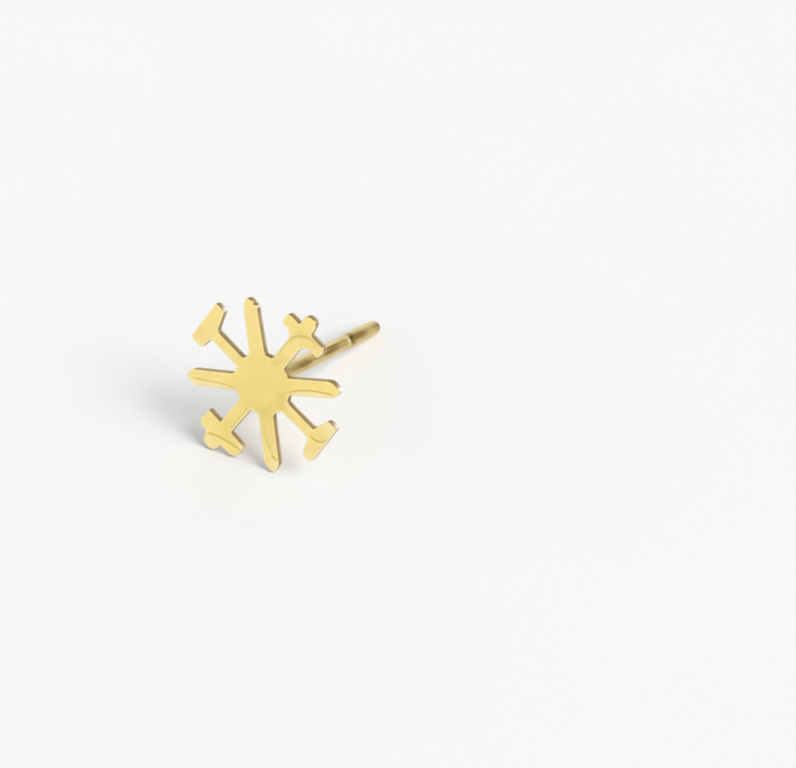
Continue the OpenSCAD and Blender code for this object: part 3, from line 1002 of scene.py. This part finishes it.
        # Where the edge faces right and up, away from the light, the sawn edge's colour and its painted
        # shade reach further up the rolled edge.
        lit = smooth(-0.7, -0.2, facing)
        wall = smooth((0.05 + 0.3 * lit) * roll, (0.6 + 0.5 * lit) * roll, deep)
        wall = wall * (1 - smooth(-0.01, 0.0, deep - shape.thickness))
        back = (deep > shape.thickness - 1e-6).astype(float)
        face = (1 - wall) * (1 - back)
        off = np.linalg.norm(points[:, :2] - edge, axis=1)
        r = np.linalg.norm(edge, axis=1)
        # Painted shade in the corners between the arms.
        corner = 1 - smooth(plate.hub_radius + 0.05, plate.hub_radius + 0.6, r)
        shade = smooth(0.1, 0.8, -facing) * (1 - smooth(0.3, 0.75, deep / shape.thickness)) + 0.6 * corner
        # Painted glints on the sawn edge, and painted shade where the amount is below 0.
        places = spots(points, EDGE_GLINTS_AND_SHADE)
        # Painted highlight on the rolled edge where it faces left and down or right and down.
        rolled = np.maximum(smooth(0.0, 0.8, facing), 0.8 * smooth(0.75, 0.97, facing_low_right))
        # Faint painted highlight just inside the edges that face right and up.
        inner_highlight_band = 0.2 * smooth(-0.3, -0.6, facing) * np.exp(-((off - 0.11) / 0.05) ** 2)
        return {
            "wall": wall,
            "back": back,
            "satin": self.satin(points) * (1 - back),
            "rim": rolled * (1 - smooth(0.02, 0.17, off)) * face,
            "painted_highlight": np.clip(inner_highlight_band + spots(points, HIGHLIGHT_PLACES), 0, 1) * face,
            "shade": np.clip(shade + np.maximum(-places, 0), 0, 1),
            "edge_glint": np.clip(places, 0, 1) * smooth(0.3 * roll, roll, deep) * (1 - back),
            "warm": np.clip(spots(points, WARM_PLACES), 0, 1) * face,
        }

    def darker_ring(self, points):
        """A darker ring of the face near the hub's rim, most at its lower right, and darker places of arms.

        The ring is a bell curve of the distance from the middle, times 1 and a cosine of the angle round it.
        """
        r = np.linalg.norm(points, axis=1)
        lower_right = points @ direction(math.radians(-35)) / np.maximum(r, 0.1)
        ring = 0.13 * (1 + 0.8 * lower_right) * np.exp(-((r - 1.6) / 0.5) ** 2)
        return np.clip(ring + spots(points, DARKER_PLACES), 0, 1)

    def satin(self, points):
        """The plainer polish of the hub's lower left, of the low spike's upper half and of a few places.

        On the hub it falls off smoothly with the distance from a point left of and below the middle, and on
        the spike with the distance from its middle line and from its root.
        """
        low_arm = smooth(-1.2, -1.9, points[:, 1]) * (1 - smooth(0.5, 0.8, np.abs(points[:, 0])))
        low_arm = low_arm * (1 - smooth(2.6, 3.9, -points[:, 1]))
        r = np.linalg.norm(points[:, :2] - np.array([-0.15, -0.35]), axis=1)
        plain = np.maximum(1 - smooth(0.4, 2.3, r), 0.9 * low_arm)
        return np.clip(plain + spots(points, SATIN_PLACES), 0, 1)


class OBJECT_OT_ear_post(bpy.types.Operator):
    """Makes the straight ear post with its groove and round end"""

    bl_idname = "object.ear_post"
    bl_label = "Ear post"

    def execute(self, context):
        shape = StudShape(context.scene)
        sides = context.scene.snowflake_post.sides
        behind, radius = self.profile(shape)
        turns = np.arange(sides) / sides * 2 * np.pi
        # A surface of revolution: each ring is its radius times (cos, sin), and a fan closes either end.
        ring = np.stack([np.cos(turns), np.sin(turns)], axis=1)
        grid = radius[:, None, None] * ring[None]
        z = np.broadcast_to(-shape.thickness - behind[:, None], grid.shape[:2])
        body = np.column_stack([grid.reshape(-1, 2), z.ravel()])
        ends = np.array([[0, 0, z[0, 0]], [0, 0, -shape.thickness - shape.post.length]])
        points = np.vstack([body, ends])
        at = np.arange(sides)
        after = (at + 1) % sides
        first = np.stack([np.full(sides, len(body)), at, after], axis=1)
        low = (len(behind) - 1) * sides
        last = np.stack([np.full(sides, len(body) + 1), low + after, low + at], axis=1)
        values = self.marks(shape, behind, turns)
        material = drawn_wire(shape, context.scene.snowflake_gold)
        faces = [ring_faces(len(behind), sides), first, last]
        dressed(built("ear_post", shape.metres_at_rest(points), faces, material, values))
        return {"FINISHED"}

    def marks(self, shape, behind, turns):
        """Painted shade in bands along the post and painted highlights, each the product of a curve along
        and one around it.

        Around the post a curve is a smooth step of the cosine of the angle from the mark's middle, and along
        it a bell curve of the distance from the groove, or a slow sine. The turns grow anticlockwise as seen
        from the front of the plate, from its right. The marks are the painted shade along one side, in the
        groove and at the end; the painted highlight of the groove's rim and of the post's upper side; the
        deep painted shade in the groove; and the cut, which is the groove itself.
        """
        off_groove = (shape.post.length - behind - shape.post.groove_at)[:, None]
        side = np.cos(turns - math.radians(22))[None]
        top = np.cos(turns - math.radians(74))[None]
        # Painted shade: a band along one side of the post, weaker at the groove.
        band = smooth(0.78, 0.985, side) * (0.75 + 0.2 * np.sin(2.1 * behind + 0.6))[:, None]
        band = band * (1 - 0.7 * np.exp(-((off_groove - 0.35) / 0.25) ** 2))
        # Painted shade in the groove and at the end, on the same side.
        groove = 0.8 * np.exp(-((off_groove + 0.2) / 0.3) ** 2) * smooth(0.4, 0.95, side)
        at_end = 0.5 * smooth(0.4, 0.05, shape.post.length - behind)[:, None] * smooth(0.5, 0.95, side)
        tarnish = np.clip(np.maximum(band, groove) + at_end, 0, 1)
        # Painted highlight at the groove's rim and along the top.
        rim = 0.6 * np.exp(-((off_groove - 0.3) / 0.1) ** 2) * smooth(0.2, 0.9, side)
        gleam = np.maximum(rim, 0.15 * smooth(0.85, 0.97, top))
        # Painted shade deep in the groove.
        deep = 0.8 * np.exp(-((off_groove + 0.1) / 0.18) ** 2) * smooth(0.7, 0.97, side)
        cut = np.exp(-(off_groove / 0.24) ** 2) * np.ones_like(side)
        values = {"tarnish": tarnish, "gleam": gleam, "deep": deep, "cut": cut}
        return {key: np.append(row.ravel(), [0, 0]) for key, row in values.items()}

    def profile(self, shape):
        """Distance behind the plate and radius of each ring of the post.

        The radius is the wire's, less a groove that is part of a circle, plus a low burr at the groove's
        two rims. Past the groove the wire is a little swollen. The last rings follow a quarter circle to
        the round end. The first ring lies inside the plate.
        """
        post = shape.post
        r = shape.post_radius
        end = post.length - r
        groove = post.length - post.groove_at
        half = post.groove_width / 2
        near = groove + np.linspace(-0.5, 0.5, 61)
        straight = np.concatenate([[-shape.thickness * 0.6], np.linspace(0, near[0] - 0.1, 50), near,
                                   np.linspace(near[-1] + 0.1, end, 14)])
        arc = (half ** 2 + post.groove_depth ** 2) / (2 * post.groove_depth)
        off = np.abs(straight - groove)
        cut = post.groove_depth - arc + np.sqrt(arc ** 2 - np.minimum(off, half) ** 2)
        burr = BURR_HEIGHT * np.exp(-((off - half - 0.03) / 0.035) ** 2)
        a = np.linspace(0, np.pi / 2, 14)[1:-1]
        behind = np.concatenate([straight, end + r * np.sin(a)])
        swollen = SWELLING * smooth(groove + half, groove + half + 0.6, straight)
        swollen = swollen * (1 - smooth(end - 0.8, end, straight))
        radius = np.concatenate([r - np.maximum(cut, 0) + burr + swollen, r * np.cos(a)])
        return behind, radius


class OBJECT_OT_solder_joint(bpy.types.Operator):
    """Makes the hollow fillet of solder round the foot of the post"""

    bl_idname = "object.solder_joint"
    bl_label = "Solder joint"

    def execute(self, context):
        shape = StudShape(context.scene)
        sides = context.scene.snowflake_post.sides
        turns = np.arange(sides) / sides * 2 * np.pi
        grid = self.fillet(shape, turns)
        points = grid.reshape(-1, 3)
        faces = [ring_faces(len(grid), sides, closed_rows=True)[:, ::-1]]
        material = soft_solder(shape, context.scene.snowflake_gold)
        dressed(built("solder_joint", shape.metres_at_rest(points), faces, material))
        return {"FINISHED"}

    def fillet(self, shape, turns):
        """A hollow quarter circle carried round the post, its radius a little uneven as it goes round.

        The profile runs down the post, out along the arc and back inside the metal to where it began.
        """
        uneven = 1 + 0.10 * np.sin(2 * turns + 0.6) + 0.06 * np.sin(5 * turns + 2.1)
        radius = shape.post.solder_radius * uneven[None]
        a = np.linspace(np.pi, np.pi / 2, 12)[:, None]
        foot = shape.post_radius
        out = foot + radius * (1 + np.cos(a))
        down = radius * (1 - np.sin(a))
        inner = np.full((1, len(turns)), foot - OVERLAP)
        out = np.vstack([inner, out, out[-1:], inner])
        down = np.vstack([down[:1], down, np.full((2, len(turns)), -OVERLAP)])
        z = -shape.thickness - down
        return np.stack([out * np.cos(turns), out * np.sin(turns), z], axis=-1)


# Sizes of the stage in metres, and the tints of its light and of the room.
FLOOR_HALF = 1.5
FLOOR_DROP = 0.000002
LAMP_DISTANCE = 0.3
HUB_HEIGHT = 0.004
LIGHT_TINT = (1.0, 1.0, 0.995)
ROOM_TINT = (0.985, 0.99, 1.0, 1.0)
# Sine of the angle above the horizon at which the room starts to dim, and at which it is dimmest.
ROOM_FADE = (0.12, 0.95)


class SCENE_OT_stud_stage(bpy.types.Operator):
    """Makes the pale floor, the light, the room and the camera"""

    bl_idname = "scene.stud_stage"
    bl_label = "Stage"

    def execute(self, context):
        stage = context.scene.snowflake_stage
        self.floor(stage)
        self.light(stage)
        self.room(context.scene, stage)
        self.camera(context.scene, stage)
        context.scene.view_settings.view_transform = "Standard"
        return {"FINISHED"}

    def towards(self, azimuth, elevation):
        """Unit vector that points away from the stud: azimuth 0 is the front, and it grows to the right."""
        flat = math.cos(elevation)
        return Vector((math.sin(azimuth) * flat, -math.cos(azimuth) * flat, math.sin(elevation)))

    def floor(self, stage):
        """A square sheet of four faces, just under the stud."""
        side = np.linspace(-FLOOR_HALF, FLOOR_HALF, 3)
        x, y = np.meshgrid(side, side)
        points = np.column_stack([x.ravel(), y.ravel(), np.full(x.size, -FLOOR_DROP)])
        corner = np.array([0, 1, 3, 4])[:, None]
        floor = built("floor", points, [corner + np.array([0, 1, 4, 3])], pale_floor(stage.floor))

    def light(self, stage):
        """One wide, soft light from the right and above."""
        lamp = bpy.data.lights.new("soft_light", "SUN")
        lamp.energy = stage.light_strength
        lamp.angle = stage.light_spread
        lamp.color = LIGHT_TINT
        holder = bpy.data.objects.new("soft_light", lamp)
        way = self.towards(stage.light_azimuth, stage.light_elevation)
        holder.location = way * LAMP_DISTANCE
        holder.rotation_euler = way.to_track_quat("Z", "Y").to_euler()
        bpy.context.scene.collection.objects.link(holder)

    def room(self, scene, stage):
        """A plain room, bright at the height of the table and dimmer overhead."""
        room = Finish(bpy.data.worlds.new("plain_room"))
        place = room.node("TexCoord", output="Generated")
        height = room.node("SeparateXYZ", {}, {0: place}, output="Z")
        low, high = ROOM_FADE
        strength = room.node("MapRange", {"interpolation_type": "SMOOTHSTEP"}, {
            "Value": height, "From Min": low, "From Max": high,
            "To Min": stage.horizon, "To Max": stage.ceiling})
        light = room.node("Background", {}, {"Color": ROOM_TINT, "Strength": strength})
        room.node("OutputWorld", {}, {"Surface": light})
        scene.world = room.owner

    def camera(self, scene, stage):
        """Camera on the line to the hub, moved aside and down so that the stud sits where it should."""
        lens = bpy.data.cameras.new("camera")
        lens.lens = stage.lens
        lens.sensor_width = 36
        lens.clip_start = 0.001
        lens.clip_end = 10
        camera = bpy.data.objects.new("camera", lens)
        back = self.towards(stage.azimuth, stage.elevation)
        right = Vector((math.cos(stage.azimuth), math.sin(stage.azimuth), 0))
        up = back.cross(right)
        hub = Vector((0, 0, HUB_HEIGHT))
        camera.location = hub + back * stage.distance + right * stage.aside - up * stage.below
        camera.rotation_mode = "QUATERNION"
        camera.rotation_quaternion = back.to_track_quat("Z", "Y")
        scene.collection.objects.link(camera)
        scene.camera = camera


class VIEW3D_PT_snowflake_stud(bpy.types.Panel):
    """Sizes, colours and pieces of the stud"""

    bl_label = "Snowflake stud"
    bl_idname = "VIEW3D_PT_snowflake_stud"
    bl_space_type = "VIEW_3D"
    bl_region_type = "UI"
    bl_category = "Snowflake stud"

    def draw(self, context):
        for name in GROUPS:
            box = self.layout.box()
            box.label(text=name.replace("_", " ").capitalize())
            group = getattr(context.scene, name)
            for key in group.bl_rna.properties.keys():
                if key not in ("rna_type", "name"):
                    box.prop(group, key)
        for operator in OPERATORS:
            self.layout.operator(operator.bl_idname)


GROUPS = {
    "snowflake_plate": PlateSizes,
    "snowflake_post": PostSizes,
    "snowflake_gold": GoldColours,
    "snowflake_stage": StageSettings,
}
OPERATORS = (
    SCENE_OT_stud_stage,
    OBJECT_OT_snowflake_plate,
    OBJECT_OT_ear_post,
    OBJECT_OT_solder_joint,
)


def register():
    for name, group in GROUPS.items():
        bpy.utils.register_class(group)
        setattr(bpy.types.Scene, name, PointerProperty(type=group))
    for operator in OPERATORS:
        bpy.utils.register_class(operator)
    bpy.utils.register_class(VIEW3D_PT_snowflake_stud)


def unregister():
    bpy.utils.unregister_class(VIEW3D_PT_snowflake_stud)
    for operator in reversed(OPERATORS):
        bpy.utils.unregister_class(operator)
    for name, group in reversed(GROUPS.items()):
        delattr(bpy.types.Scene, name)
        bpy.utils.unregister_class(group)


def main():
    register()
    bpy.ops.scene.stud_stage()
    bpy.ops.object.snowflake_plate()
    bpy.ops.object.ear_post()
    bpy.ops.object.solder_joint()


if __name__ == "__main__":
    main()
